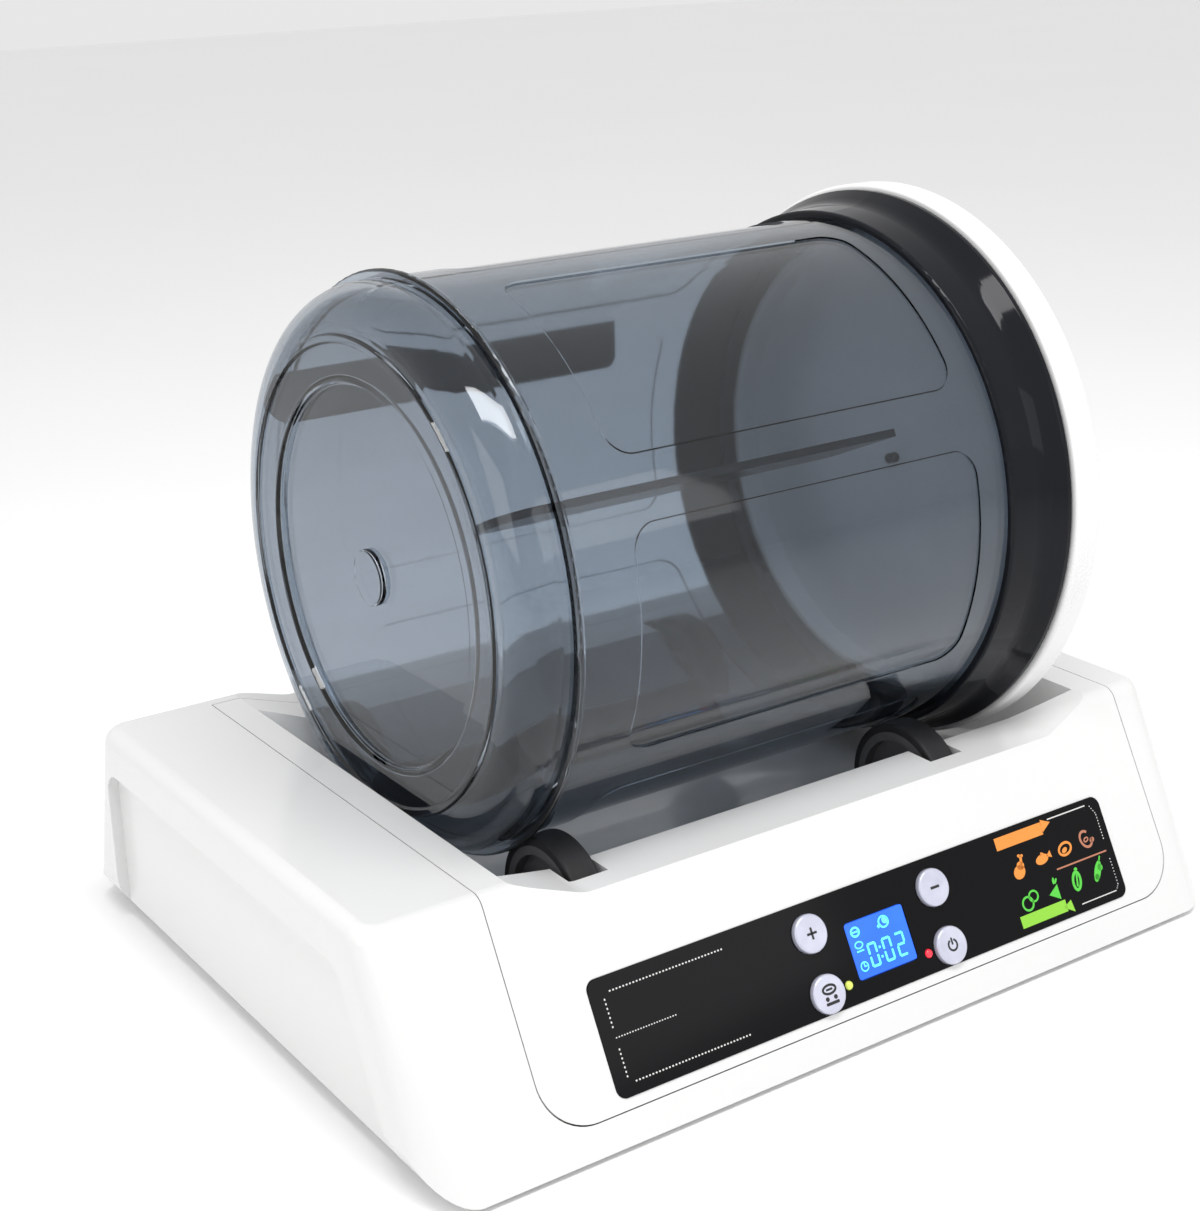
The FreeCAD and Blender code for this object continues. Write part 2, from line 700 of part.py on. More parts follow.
def shaft(side):
    y, z = roller_axes()[side]
    b0, b1 = bearing_xs()
    x1 = b1 + BEARING_T / 2 + SHAFT_END
    x0 = b0 - BEARING_T / 2 - SHAFT_END
    if side == 0:
        x0 = GEAR_X - GEAR_W / 2 - SHAFT_FIT
    s = rod(SHAFT_R, x0, x1, y, z)
    return s.makeChamfer(SHAFT_R / 6, [e for e in s.Edges if e.BoundBox.XLength < 0.01])


def bearings():
    out = []
    z0 = FOOT_H + PLATE_T
    for y, z in roller_axes():
        for x in bearing_xs():
            a, b, h, f = x - BEARING_T / 2, x + BEARING_T / 2, BEARING_BOSS_R, BEARING_FOOT_W / 2
            s = rod(h, a, b, y, z).fuse(box(a, b, y - h, y + h, z0, z))
            s = s.fuse(box(a, b, y - f, y + f, z0, z0 + BEARING_FOOT_T)).removeSplitter()
            out.append(s.cut(rod(SHAFT_R + SHAFT_FIT, a - 1, b + 1, y, z)))
    return Part.makeCompound(out)


# ---- gears ---------------------------------------------------------------------------

def involute(rb, t):
    return rb * (cos(t) + t * sin(t)), rb * (sin(t) - t * cos(t))


def gear(teeth, bore, x, y, z, phase):
    m, pa = GEAR_M, radians(PRESSURE_DEG)
    rp = m * teeth / 2
    rb, ra, rf = rp * cos(pa), rp + ADDENDUM * m, rp - DEDENDUM * m
    inv = tan(pa) - pa
    half = (pi * m / 2 - GEAR_LASH) / (2 * rp) + inv
    steps = 4
    t_end = sqrt((ra / rb) ** 2 - 1)
    t_start = sqrt(max((rf / rb) ** 2 - 1, 0))
    flank = []
    for i in range(steps + 1):
        t = t_start + (t_end - t_start) * i / steps
        a, b = involute(rb, t)
        flank.append((sqrt(a * a + b * b), half - atan2(b, a)))
    pts = []
    for k in range(teeth):
        mid = phase + 2 * pi * k / teeth
        root = [(rf, half)] if rf < rb else []
        for r, d in root + flank:
            pts.append((r, mid - d))
        for r, d in reversed(root + flank):
            pts.append((r, mid + d))
    wire = [V(x, y + r * cos(a), z + r * sin(a)) for r, a in pts]
    g = Part.Face(Part.makePolygon(wire + wire[:1])).extrude(V(GEAR_W, 0, 0))
    g.translate(V(-GEAR_W / 2, 0, 0))
    return g.cut(rod(bore, x - GEAR_W, x + GEAR_W, y, z))


def pinion_axis():
    y, z = roller_axes()[0]
    d = GEAR_M * (GEAR_TEETH + PINION_TEETH) / 2 + GEAR_SHIFT
    a = radians(MESH_DEG)
    return y + d * cos(a), z + d * sin(a)


def drive_gear():
    y, z = roller_axes()[0]
    g = gear(GEAR_TEETH, SHAFT_R, GEAR_X, y, z, radians(MESH_DEG))
    w = GEAR_W / 4
    for x0, x1 in ((GEAR_X - GEAR_W / 2, GEAR_X - w), (GEAR_X + w, GEAR_X + GEAR_W / 2)):
        cut = ring(2 * SHAFT_R, GEAR_M * GEAR_TEETH / 2 - 4 * GEAR_M, x0, x1)
        cut = shift(cut, y=y - AXIS_Y, z=z - AXIS_Z)
        g = g.cut(cut)
    return g


def motor_pinion():
    y, z = pinion_axis()
    half_tooth = pi / PINION_TEETH
    return gear(PINION_TEETH, MOTOR_SHAFT_R, GEAR_X, y, z, radians(MESH_DEG) + pi + half_tooth)


def motor_x():
    # the motor's face that meets the bracket
    return GEAR_X - GEAR_W / 2 - MOTOR_GAP - SHEET


def motor_centre():
    y, z = pinion_axis()
    return y + MOTOR_OFFSET, z - MOTOR_OFFSET / 4


def motor_ears():
    y, z = motor_centre()
    d = MOTOR_R + SCREW_HEAD_R + 1
    a = radians(MOTOR_EAR_DEG)
    return [(y + s * d * cos(a), z + s * d * sin(a)) for s in (-1, 1)]


def drive_motor():
    y, z = motor_centre()
    py, pz = pinion_axis()
    x1 = motor_x()
    can = rod(MOTOR_R, x1 - MOTOR_L, x1, y, z)
    can = can.makeFillet(1.5, [e for e in can.Edges if e.BoundBox.XMax < x1 - MOTOR_L + 0.01])
    parts = [can, rod(MOTOR_NOSE_R, x1, x1 + MOTOR_NOSE_L / 2, py, pz)]
    for ey, ez in motor_ears():
        ear = rod(SCREW_HEAD_R + 1, x1 - SHEET, x1, ey, ez).fuse(spoke(x1 - SHEET, x1, (y, z), (ey, ez)))
        parts.append(ear.cut(rod(SCREW_R, x1 - WALL, x1 + 1, ey, ez)))
    return fuse(parts)


def spoke(x0, x1, a, b):
    # flat bar from point a to point b at a screw's width
    dy, dz = b[0] - a[0], b[1] - a[1]
    n = sqrt(dy * dy + dz * dz)
    w = SCREW_HEAD_R + 1
    oy, oz = -dz / n * w, dy / n * w
    near = 0.75
    ay, az = a[0] + dy * near, a[1] + dz * near
    pts = [V(x0, ay + oy, az + oz), V(x0, b[0] + oy, b[1] + oz), V(x0, b[0] - oy, b[1] - oz), V(x0, ay - oy, az - oz)]
    return Part.Face(Part.makePolygon(pts + pts[:1])).extrude(V(x1 - x0, 0, 0))


def motor_shaft():
    y, z = pinion_axis()
    x1 = motor_x()
    return rod(MOTOR_SHAFT_R, x1 + MOTOR_NOSE_L / 2 + SHAFT_FIT, GEAR_X + GEAR_W / 2, y, z)


def motor_bracket():
    y, z = motor_centre()
    py, pz = pinion_axis()
    x0 = motor_x()
    x1 = x0 + SHEET
    z0 = FOOT_H + PLATE_T
    w = MOTOR_R + 2 * SCREW_HEAD_R
    face = box(x0, x1, y - w, y + w, z0, z + w)
    face = face.makeFillet(4 * SHEET, [e for e in face.Edges if e.BoundBox.XLength > SHEET / 2
                                       and e.BoundBox.ZMin > z])
    foot = box(x0, x0 + 6 * SHEET, y - w, y + w, z0, z0 + SHEET)
    b = face.fuse(foot).removeSplitter()
    b = b.cut(rod(MOTOR_NOSE_R + PANEL_FIT, x0 - 1, x1 + 1, py, pz))
    for ey, ez in motor_ears():
        b = b.cut(rod(SCREW_R, x0 - 1, x1 + 1, ey, ez))
    return b


def motor_screws():
    x0 = motor_x() - SHEET
    out = []
    for y, z in motor_ears():
        s = rod(SCREW_HEAD_R, x0 - SCREW_HEAD_H, x0, y, z)
        s = s.fuse(rod(SCREW_R, x0, x0 + 3 * SHEET, y, z))
        out.append(s.cut(rod(SCREW_R / 2, x0 - SCREW_HEAD_H, x0 - SCREW_HEAD_H / 2, y, z)))
    return Part.makeCompound(out)


# ---- control panel -------------------------------------------------------------------

def control_panel():
    n0 = PANEL_PROUD - PANEL_T
    p = pad(PANEL_W, PANEL_H, PANEL_CORNER, n0, PANEL_PROUD)
    return on_fascia(p.cut(fascia_holes(n0 - 1)))


def button(name):
    u, v = button_spots()[name]
    top, low = PANEL_PROUD + BUTTON_PROUD, -WALL - SWITCH_GAP - BUTTON_FLANGE_T
    cap = peg(BUTTON_R, low, top, u, v)
    cap = cap.makeFillet(BUTTON_PROUD / 2, [e for e in cap.Edges if e.BoundBox.ZMin > top - 0.01])
    flange = peg(BUTTON_R + BUTTON_FLANGE, low, low + BUTTON_FLANGE_T, u, v)
    return on_fascia(cap.fuse(flange).removeSplitter())


def lcd_display():
    w, h = LCD_W, LCD_H
    glass = pad(w, h, 0.8, -BOARD_DEPTH, PANEL_PROUD / 2, 0, LCD_V)
    return on_fascia(glass)


def led(name):
    u, v = led_spots()[name]
    dome = peg(LED_R, -BOARD_DEPTH, PANEL_PROUD + LED_R / 2, u, v)
    dome = dome.makeFillet(LED_R * 0.7, [e for e in dome.Edges if e.BoundBox.ZMin > 0])
    return on_fascia(dome)


def control_board():
    b = pad(BOARD_W, BOARD_H, 2.0, -BOARD_DEPTH - BOARD_T, -BOARD_DEPTH, 0, LCD_V)
    return on_fascia(b)


def tact_switches():
    low = -WALL - SWITCH_GAP - BUTTON_FLANGE_T - BUTTON_TRAVEL - SWITCH_GAP
    out = []
    for u, v in button_spots().values():
        s = pad(SWITCH_W, SWITCH_W, 0.6, -BOARD_DEPTH, low - SWITCH_W / 6, u, v)
        out.append(s.fuse(peg(SWITCH_W / 4, low - SWITCH_W / 6, low, u, v)).removeSplitter())
    return on_fascia(Part.makeCompound(out))


# ---- services ------------------------------------------------------------------------

def pump_axis_z():
    return FOOT_H + PLATE_T + PUMP_LIFT + PUMP_R


def port_x():
    return PUMP_X + PUMP_L / 2 + PUMP_HEAD_L + NOZZLE_L + 2 * GLUE + TUBE_BEND_R


def vacuum_pump():
    z = pump_axis_z()
    x0, x1 = PUMP_X - PUMP_L / 2, PUMP_X + PUMP_L / 2
    can = rod(PUMP_R, x0, x1, PUMP_Y, z)
    can = can.makeFillet(2.0, [e for e in can.Edges if e.BoundBox.XMax < x0 + 0.01])
    h = PUMP_HEAD / 2
    head = box(x1, x1 + PUMP_HEAD_L, PUMP_Y - h, PUMP_Y + h, z - h, z + h)
    head = head.makeFillet(2.5, [e for e in head.Edges if e.BoundBox.XLength > PUMP_HEAD_L / 2])
    nozzle = rod(NOZZLE_R, x1 + PUMP_HEAD_L, x1 + PUMP_HEAD_L + NOZZLE_L, PUMP_Y, z)
    return fuse([can, head, nozzle])


def pump_cradle():
    z0, z = FOOT_H + PLATE_T, pump_axis_z()
    out = []
    for s in (-1, 1):
        x = PUMP_X + s * PUMP_L / 4
        b = box(x - CRADLE_W / 4, x + CRADLE_W / 4, PUMP_Y - PUMP_R, PUMP_Y + PUMP_R, z0, z)
        out.append(b.cut(rod(PUMP_R + GLUE, x - CRADLE_W, x + CRADLE_W, PUMP_Y, z)))
    strip = box(PUMP_X - PUMP_L / 2, PUMP_X + PUMP_L / 2, PUMP_Y - PUMP_R, PUMP_Y + PUMP_R, z0, z0 + PUMP_LIFT - GLUE)
    return fuse(out + [strip])


def vacuum_tube():
    # an elbow from the pump's nozzle to the port's spigot
    z = pump_axis_z()
    x0 = PUMP_X + PUMP_L / 2 + PUMP_HEAD_L + GLUE
    x1 = port_x() - TUBE_BEND_R
    y1 = port_y0() + NOZZLE_L
    c = V(x1, PUMP_Y + TUBE_BEND_R, z)
    k = sqrt(0.5)
    arc = Part.Arc(V(x1, PUMP_Y, z), c + V(TUBE_BEND_R * k, -TUBE_BEND_R * k, 0), V(port_x(), c.y, z)).toShape()
    path = [Part.makeLine(V(x0, PUMP_Y, z), V(x1, PUMP_Y, z)), arc]
    if y1 - c.y > GLUE:
        path.append(Part.makeLine(V(port_x(), c.y, z), V(port_x(), y1, z)))
    spine = Part.Wire(path)
    rings = [Part.Wire(Part.makeCircle(r, V(x0, PUMP_Y, z), XDIR)) for r in (TUBE_R, NOZZLE_R + TUBE_BORE_FIT)]
    solid = [spine.makePipeShell([w], True, True) for w in rings]
    return solid[0].cut(solid[1])


def port_y0():
    # inner end of the hose port's spigot
    return PUMP_Y + TUBE_BEND_R + GLUE


def hose_port():
    # socket through the rear wall, with a spigot for the inner tube
    x, z, y0 = port_x(), pump_axis_z(), port_y0()
    y1 = y0 + NOZZLE_L + GLUE
    p = rear_pipe(NOZZLE_R, x, z, y0, y1).fuse(rear_pipe(PORT_R + PORT_WALL, x, z, y1, PORT_FACE_Y))
    p = p.cut(rear_pipe(PORT_BORE_R, x, z, y0 - 1, PORT_FACE_Y))
    p = p.removeSplitter()
    p = p.makeFillet(1.0, [e for e in p.Edges if e.BoundBox.YMin > PORT_FACE_Y - 0.01
                           and e.BoundBox.XLength > 2 * PORT_R])
    return p.cut(rear_pipe(PORT_R, x, z, PORT_FACE_Y - PORT_L, PORT_FACE_Y + 1))


def power_inlet():
    # barrel socket through the rear wall
    x, z = INLET_X, INLET_Z
    y0 = PORT_FACE_Y - INLET_BORE_L
    back = y0 - INLET_BODY_L / 2
    b = INLET_BODY / 2
    p = rear_pipe(INLET_R, x, z, back, PORT_FACE_Y)
    p = p.makeFillet(0.8, [e for e in p.Edges if e.BoundBox.YMin > PORT_FACE_Y - 0.01])
    p = p.fuse(box(x - b, x + b, back - INLET_BODY_L / 2, back + INLET_BODY_L / 6, z - b, z + b))
    p = p.cut(rear_pipe(INLET_BORE_R, x, z, y0, PORT_FACE_Y + 1))
    return p.fuse(rear_pipe(INLET_PIN_R, x, z, y0, PORT_FACE_Y - 1)).removeSplitter()


def power_board():
    x, y, w, d = POWER_BOARD_X, POWER_BOARD_Y, POWER_BOARD_W, POWER_BOARD_D
    z0 = FOOT_H + PLATE_T
    z1 = z0 + STANDOFF
    top = z1 + BOARD_T
    parts = [shift(pad(w, d, 2.0, z1, top), x, y)]
    for sx in (-1, 1):
        for sy in (-1, 1):
            parts.append(Part.makeCylinder(SCREW_HEAD_R, STANDOFF, V(x + sx * w * 0.42, y + sy * d * 0.4, z0)))
    block = box(x - w / 4, x + w / 10, y - d / 4, y + d / 4, top, top + 3 * STANDOFF)
    parts.append(block.makeFillet(1.5, [e for e in block.Edges if e.BoundBox.ZLength > STANDOFF]))
    for sy in (-1, 1):
        parts.append(Part.makeCylinder(STANDOFF, 3 * STANDOFF, V(x + w * 0.3, y + sy * d * 0.2, top)))
    return fuse(parts)


# ---- build ---------------------------------------------------------------------------

def build():
    whole = shell()
    save(top_cover(whole), "top_cover")
    save(lower_housing(whole), "lower_housing")
    for side, name in ((0, "front"), (1, "rear")):
        save(pair(hub, side), name + "_roller_hubs")
        save(pair(tyre, side), name + "_roller_tyres")
        save(shaft(side), name + "_shaft")
    for name in button_spots():
        save(button(name), name)
    for name in led_spots():
        save(led(name), name)
    for make in (bottom_plate, feet, housing_screws, drum_shell, fins, drum_collar, lid, lid_gasket, valve_body,
                 valve_knob, bearings, drive_gear, motor_pinion, motor_shaft, drive_motor, motor_bracket,
                 motor_screws, control_panel, lcd_display, control_board, tact_switches, vacuum_pump,
                 pump_cradle, vacuum_tube, hose_port, power_inlet, power_board):
        save(make(), make.__name__)


build()
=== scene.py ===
import math

import bpy
from mathutils import Matrix, Vector


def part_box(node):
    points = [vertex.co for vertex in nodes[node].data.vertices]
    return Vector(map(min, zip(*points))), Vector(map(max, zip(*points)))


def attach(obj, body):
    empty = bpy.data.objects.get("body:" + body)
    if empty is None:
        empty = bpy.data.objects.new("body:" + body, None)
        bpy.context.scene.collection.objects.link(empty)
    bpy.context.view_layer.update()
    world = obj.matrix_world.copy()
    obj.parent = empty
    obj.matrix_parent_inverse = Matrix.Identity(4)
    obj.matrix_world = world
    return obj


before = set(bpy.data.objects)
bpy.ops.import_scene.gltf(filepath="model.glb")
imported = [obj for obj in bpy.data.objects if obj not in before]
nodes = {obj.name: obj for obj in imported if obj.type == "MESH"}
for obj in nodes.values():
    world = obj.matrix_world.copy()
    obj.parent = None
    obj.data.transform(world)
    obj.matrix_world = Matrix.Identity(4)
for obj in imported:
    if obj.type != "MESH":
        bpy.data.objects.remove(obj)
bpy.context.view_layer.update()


# The two halves of the base: a lower housing that wraps the ends and the foot of the front, and a top
# moulding with the cradle and the fascia. Both are injection-moulded glossy white ABS that meet at a fine seam.
class Value:
    """A number on a shader socket that takes part in Python sums."""

    def __init__(self, tree, socket):
        self.tree, self.socket = tree, socket

    def sum(self, operation, a, b=0.0):
        node = self.tree.nodes.new("ShaderNodeMath")
        node.operation = operation
        for slot, item in zip(node.inputs, (a, b)):
            feed(self.tree, slot, item)
        return Value(self.tree, node.outputs[0])

    def __add__(self, other):
        return self.sum("ADD", self, other)

    def __radd__(self, other):
        return self.sum("ADD", other, self)

    def __sub__(self, other):
        return self.sum("SUBTRACT", self, other)

    def __rsub__(self, other):
        return self.sum("SUBTRACT", other, self)

    def __mul__(self, other):
        return self.sum("MULTIPLY", self, other)

    def __rmul__(self, other):
        return self.sum("MULTIPLY", other, self)

    def __pow__(self, other):
        return self.sum("POWER", self, other)

    def __lt__(self, other):
        return self.sum("LESS_THAN", self, other)

    def __gt__(self, other):
        return self.sum("GREATER_THAN", self, other)


def feed(tree, slot, item):
    if isinstance(item, Value):
        tree.links.new(item.socket, slot)
    elif slot.type in ("RGBA", "VECTOR") and not isinstance(item, (tuple, list)):
        slot.default_value = [item] * len(slot.default_value)
    elif slot.type == "RGBA" and len(item) == 3:
        slot.default_value = (*item, 1.0)
    else:
        slot.default_value = item


class Finish:
    """A material built node by node round one Principled shader."""

    def __init__(self, name, **fixed):
        self.material = bpy.data.materials.new(name)
        self.material.use_nodes = True
        self.tree = self.material.node_tree
        self.shader = self.tree.nodes["Principled BSDF"]
        self.set(**fixed)

    def set(self, **values):
        for name, item in values.items():
            feed(self.tree, self.shader.inputs[name.replace("_", " ")], item)

    def node(self, kind, settings=None, out=0, **inputs):
        node = self.tree.nodes.new(kind)
        for name, item in (settings or {}).items():
            if name == "stops":
                for stop in item[2:]:
                    node.color_ramp.elements.new(stop[0])
                for element, (place, colour) in zip(node.color_ramp.elements, sorted(item)):
                    element.position = place
                    element.color = (*colour, 1.0)
            else:
                setattr(node, name, item)
        for name, item in inputs.items():
            key = int(name[1:]) if name[0] == "i" and name[1:].isdigit() else name.replace("_", " ")
            feed(self.tree, node.inputs[key], item)
        return Value(self.tree, node.outputs[out])

    def place(self, scale=(1, 1, 1), move=(0, 0, 0), turn=(0, 0, 0)):
        here = self.node("ShaderNodeTexCoord", out=3)
        return self.node("ShaderNodeMapping", Vector=here, Scale=scale, Location=move, Rotation=turn)

    def noise(self, scale, detail=3.0, rough=0.5, stretch=(1, 1, 1)):
        return self.node("ShaderNodeTexNoise", Vector=self.place(stretch), Scale=scale, Detail=detail, Roughness=rough)

    def axis(self, index, vector):
        return self.node("ShaderNodeSeparateXYZ", out=index, Vector=vector)

    def ramp(self, factor, *stops):
        return self.node("ShaderNodeValToRGB", {"stops": stops}, Fac=factor)

    def blend(self, factor, a, b):
        node = self.tree.nodes.new("ShaderNodeMix")
        node.data_type = "RGBA"
        for key, item in ((0, factor), (6, a), (7, b)):
            feed(self.tree, node.inputs[key], item)
        return Value(self.tree, node.outputs[2])

    def bump(self, height, strength, distance):
        self.set(Normal=self.node("ShaderNodeBump", Height=height, Strength=strength, Distance=distance))


def dress(finish, *names):
    for name in names:
        for slot in nodes[name].material_slots:
            slot.material = finish.material


def white_abs(name, colour, roughness):
    finish = Finish(name, IOR=1.5, Coat_Roughness=0.05)
    cloud, grain = finish.noise(9.0, 4.0), finish.noise(1400.0, 2.0)
    low = tuple(c * 0.965 for c in colour)
    finish.set(Base_Color=finish.blend(cloud, low, colour), Roughness=roughness + (cloud - 0.5) * 0.08 + (grain - 0.5) * 0.05)
    finish.set(Coat_Weight=0.25 + cloud * 0.2)
    finish.bump(grain * 0.5 + finish.noise(60.0) * 0.5, 0.08, 0.0002)
    return finish


shell_white = white_abs("shell_white", (0.73, 0.73, 0.725), 0.24)
dress(shell_white, "lower_housing", "top_cover")


# The plate that closes the base from below, on four rubber feet, held by four pan-head screws that run up
# into posts. The plate is the same plastic left matt from the mould, and the feet are pressed black rubber.
def rough_plastic(name, colour, roughness, grain=900.0, spread=0.25):
    finish = Finish(name)
    cloud, fine = finish.noise(14.0, 4.0), finish.noise(grain, 3.0)
    dark = tuple(c * (1 - spread) for c in colour)
    finish.set(Base_Color=finish.blend(cloud * 0.6 + fine * 0.4, dark, colour))
    finish.set(Roughness=roughness + (fine - 0.5) * 0.18)
    finish.bump(fine, 0.25, 0.0002)
    return finish


def steel(name, colour, roughness, stretch):
    finish = Finish(name, Metallic=0.95)
    hair, blotch = finish.noise(500.0, 3.0, 0.6, stretch), finish.noise(30.0, 3.0)
    finish.set(Base_Color=finish.blend(blotch * 0.5 + hair * 0.5, tuple(c * 0.72 for c in colour), colour))
    finish.set(Roughness=roughness + (hair - 0.5) * 0.3)
    finish.bump(hair, 0.12, 0.0001)
    return finish


dress(rough_plastic("plate_white", (0.74, 0.74, 0.73), 0.55, spread=0.08), "bottom_plate")
foot_rubber = rough_plastic("foot_rubber", (0.028, 0.028, 0.030), 0.75)
dress(foot_rubber, "feet")
dress(steel("screw_steel", (0.62, 0.62, 0.63), 0.32, (1, 1, 6)), "housing_screws", "motor_screws")


# Two rows of rollers carry the drum. Each is a moulded nylon hub with a soft black rubber tyre, pressed on
# a steel shaft that turns in acetal bearing blocks; the front shaft takes the drive from the gear.
def tyre_rubber():
    finish = Finish("tyre_rubber", Specular_IOR_Level=0.35)
    scuff = finish.noise(240.0, 4.0, 0.65, (5, 1, 1))
    dust = finish.noise(38.0, 5.0)
    finish.set(Base_Color=finish.ramp(dust, (0.35, (0.010, 0.010, 0.011)), (0.75, (0.030, 0.030, 0.032))))
    finish.set(Roughness=0.58 + (scuff - 0.5) * 0.3)
    finish.bump(scuff, 0.3, 0.0003)
    return finish


dress(tyre_rubber(), "front_roller_tyres", "rear_roller_tyres")
dress(rough_plastic("hub_nylon", (0.11, 0.11, 0.115), 0.45), "front_roller_hubs", "rear_roller_hubs")
dress(steel("shaft_steel", (0.66, 0.66, 0.67), 0.25, (0.15, 1, 1)), "front_shaft", "rear_shaft", "motor_shaft")
acetal = rough_plastic("acetal", (0.78, 0.76, 0.70), 0.4, 1200.0, 0.07)
dress(acetal, "bearings", "drive_gear", "motor_pinion")


# What sits inside the base: the gear motor on its bent bracket, the small vacuum pump on a cradle with its
# elbow of soft tube, and the two boards. Only the roller slots and the vents give a glimpse of them.
dress(steel("motor_can", (0.58, 0.58, 0.56), 0.35, (1, 4, 1)), "drive_motor")
dress(steel("zinc_bracket", (0.60, 0.61, 0.60), 0.42, (1, 1, 3)), "motor_bracket")
dress(rough_plastic("pump_black", (0.035, 0.035, 0.038), 0.5), "vacuum_pump", "pump_cradle")
dress(rough_plastic("soft_tube", (0.70, 0.71, 0.70), 0.35, 700.0, 0.06), "vacuum_tube")


def circuit_board():
    finish = Finish("circuit_board", Coat_Roughness=0.2)
    cells = finish.node("ShaderNodeTexVoronoi", {"feature": "DISTANCE_TO_EDGE"}, Vector=finish.place(), Scale=330.0)
    trace = cells < 0.06
    finish.set(Base_Color=finish.blend(trace, (0.012, 0.10, 0.045), (0.05, 0.22, 0.09)))
    finish.set(Roughness=0.45 - trace * 0.15, Coat_Weight=0.3 + trace * 0.2)
    finish.bump(trace, 0.2, 0.0001)
    return finish


dress(circuit_board(), "control_board", "power_board")
dress(rough_plastic("switch_black", (0.03, 0.03, 0.03), 0.5), "tact_switches")


# On the rear wall, a push-in socket for the vacuum hose and a barrel socket for the power lead, both black
# glass-filled nylon with a fine spark-eroded face.
socket_black = rough_plastic("socket_black", (0.022, 0.022, 0.024), 0.42)
dress(socket_black, "hose_port", "power_inlet")


# The drum is one thick moulding in smoke-grey clear plastic: a dished end with a foot ring, a bead that
# runs beside the rollers, six flat panels round its side, and a plain neck under the collar.
def smoke_clear():
    finish = Finish("smoke_clear", Base_Color=(0.42, 0.47, 0.53), Transmission_Weight=1.0, IOR=1.46, Specular_IOR_Level=0.5)
    ripple, mist = finish.noise(16.0, 3.0), finish.noise(420.0, 3.0)
    finish.set(Roughness=0.02 + ripple * 0.03 + mist * 0.02)
    finish.set(Base_Color=finish.blend(ripple, (0.40, 0.45, 0.51), (0.46, 0.51, 0.57)))
    finish.bump(ripple, 0.05, 0.001)
    return finish


dress(smoke_clear(), "drum_shell")


# Three fins inside the drum lift and drop the food. They are the same smoke plastic, thick enough to
# read as black on edge.
def fin_smoke():
    finish = Finish("fin_smoke", Specular_IOR_Level=0.5)
    mist = finish.noise(60.0, 3.0)
    finish.set(Base_Color=finish.blend(mist, (0.004, 0.006, 0.012), (0.010, 0.014, 0.024)), Roughness=0.14 + mist * 0.1)
    finish.bump(mist, 0.1, 0.0004)
    return finish


dress(fin_smoke(), "fins")


# A flared collar of polished black plastic is bonded round the drum's neck. It hides the edge of the lid
# and keeps the drum from walking off the rollers.
def polished_black(name, colour, roughness):
    finish = Finish(name, IOR=1.38, Coat_Roughness=0.02, Specular_IOR_Level=0.22)
    haze, hair = finish.noise(22.0, 4.0), finish.noise(300.0, 2.0, 0.5, (8, 1, 1))
    finish.set(Base_Color=finish.blend(haze, tuple(c * 0.6 for c in colour), colour))
    finish.set(Roughness=roughness + haze * 0.04 + (hair > 0.68) * 0.05)
    finish.bump(haze * 0.7 + hair * 0.3, 0.03, 0.0004)
    return finish


dress(polished_black("collar_black", (0.010, 0.011, 0.014), 0.05), "drum_collar")


# The lid is a white moulding with a dished face. It turns on three lugs against a silicone ring, and the
# valve at its centre takes the hose; pulling the knob lets the air back in.
def lid_white():
    finish = Finish("lid_white", IOR=1.5, Coat_Roughness=0.08)
    cloud, grain = finish.noise(12.0, 4.0), finish.noise(1100.0, 2.0)
    finish.set(Base_Color=finish.blend(cloud, (0.78, 0.78, 0.78), (0.84, 0.84, 0.835)))
    finish.set(Roughness=0.28 + (cloud - 0.5) * 0.1 + (grain - 0.5) * 0.05, Coat_Weight=0.2 + cloud * 0.15)
    finish.bump(grain, 0.06, 0.0002)
    return finish


dress(lid_white(), "lid")
dress(rough_plastic("silicone", (0.62, 0.63, 0.63), 0.5, 600.0, 0.08), "lid_gasket")
dress(rough_plastic("valve_grey", (0.20, 0.205, 0.21), 0.4), "valve_body")
dress(polished_black("knob_black", (0.03, 0.03, 0.032), 0.18), "valve_knob")


# The control panel is a black acrylic plate let into the fascia. Its back is printed, so the marks sit
# flush: dotted frames, two banners and food symbols in orange and green.
dress(polished_black("panel_black", (0.004, 0.004, 0.005), 0.07), "control_panel")

TILT = math.radians(61.3)
PRINT = 0.00005
panel_low, panel_high = (Vector(corner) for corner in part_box("control_panel"))
panel_normal = Vector((0, -math.sin(TILT), math.cos(TILT)))
panel_middle = (panel_low + panel_high) / 2 + panel_normal * 0.0007


def only(*objects):
    bpy.ops.object.select_all(action="DESELECT")
    for item in objects:
        item.select_set(True)
    bpy.context.view_layer.objects.active = objects[0]


def in_edit(*steps):
    bpy.ops.object.mode_set(mode="EDIT")
    bpy.ops.mesh.select_all(action="SELECT")
    for step in steps:
        step()
    bpy.ops.object.mode_set(mode="OBJECT")


def raise_print():
    bpy.ops.mesh.extrude_region_move(TRANSFORM_OT_translate={"value": (0, 0, PRINT)})
    bpy.ops.mesh.select_all(action="SELECT")
    bpy.ops.mesh.normals_make_consistent(inside=False)


def bar(u, v, width, height, turn=0.0, corner=0.0):
    """A thin printed bar at (u, v) millimetres from the panel's middle."""
    bpy.ops.object.select_all(action="DESELECT")
    bpy.ops.mesh.primitive_plane_add(size=0.001)
    shape = bpy.context.object
    shape.scale = (width, height, 1)
    bpy.ops.object.transform_apply()
    if corner:
        in_edit(lambda: bpy.ops.mesh.bevel(offset=corner / 1000, segments=3, affect="VERTICES"))
    in_edit(raise_print)
    return settle(shape, u, v, turn)


